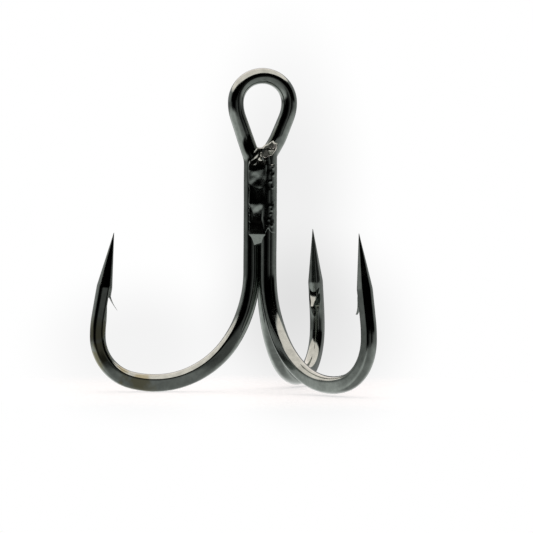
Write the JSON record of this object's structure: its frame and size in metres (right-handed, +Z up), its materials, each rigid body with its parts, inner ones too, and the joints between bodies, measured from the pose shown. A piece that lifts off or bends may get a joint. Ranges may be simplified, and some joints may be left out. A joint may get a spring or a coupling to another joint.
{
  "type": "treble hook",
  "caption": "Brazed treble hook: a double hook bent from one wire with a pear-shaped eye, and a single hook brazed in its groove, with forged bends and barbed needle points.",
  "frame": {"origin": "the bearing point inside the top of the eye, on the shank's axis, where a split ring pulls", "axes": "+Z up the shank and out through the top of the eye, +X across the double hook's two points, -Y toward the single hook"},
  "size_m": [0.0374, 0.0326, 0.0399],
  "materials": {
    "hook_wire": "black nickel plating on high-carbon steel wire, glossy, forged flat on the sides of the bends",
    "braze": "brass filler metal under the same black nickel plating, lumpy and glossy"
  },
  "bodies": {
    "root": {"double_hook_wire": "hook_wire", "single_hook_wire": "hook_wire", "braze_left_groove": "braze", "braze_right_groove": "braze", "braze_rear_groove": "braze", "braze_core": "braze", "braze_eye_web": "braze"}
  },
  "joints": []
}
